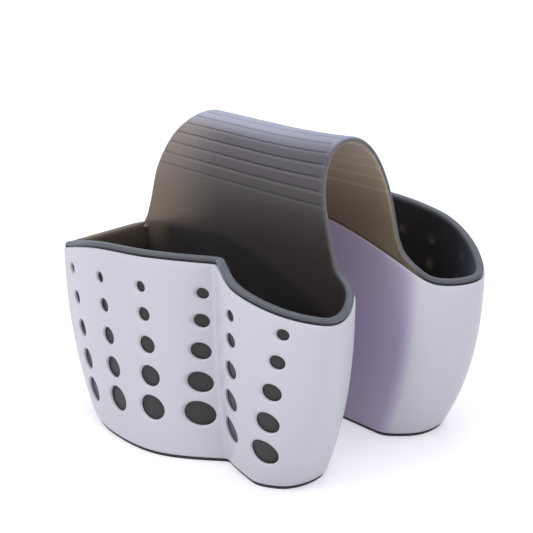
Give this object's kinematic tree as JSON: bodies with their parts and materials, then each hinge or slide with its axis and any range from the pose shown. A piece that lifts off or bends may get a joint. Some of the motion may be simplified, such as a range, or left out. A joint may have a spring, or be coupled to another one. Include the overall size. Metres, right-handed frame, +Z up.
{
  "type": "sink organizer",
  "caption": "Saddle-style sink organizer: two open baskets with pierced hard shells and soft liners, joined by a bending grooved strap over a sink divider.",
  "frame": {"origin": "middle of the whole part's footprint, on the floor it stands on", "axes": "+X along the sink divider towards the small lobes, +Y across the divider from the front basket to the back basket, +Z up"},
  "size_m": [0.1692, 0.1664, 0.1523],
  "materials": {
    "shell_plastic": "satin",
    "liner_rubber": "smooth soft",
    "strap_rubber": "smooth, slightly translucent",
    "foot_rubber": "matte"
  },
  "bodies": {
    "front_basket": {"front_shell": "shell_plastic", "front_liner": "liner_rubber", "front_foot": "foot_rubber", "strap": "strap_rubber"},
    "back_basket": {"back_shell": "shell_plastic", "back_liner": "liner_rubber", "back_foot": "foot_rubber"}
  },
  "joints": [
    {"name": "strap_bend", "type": "hinge", "parent": "front_basket", "child": "back_basket", "pos_m": [0, 0, 0.1368], "axis": [1, 0, 0], "range_deg": [-15, 45], "stiffness_Nm_per_rad": 0.05, "deforming": ["strap"]}
  ]
}
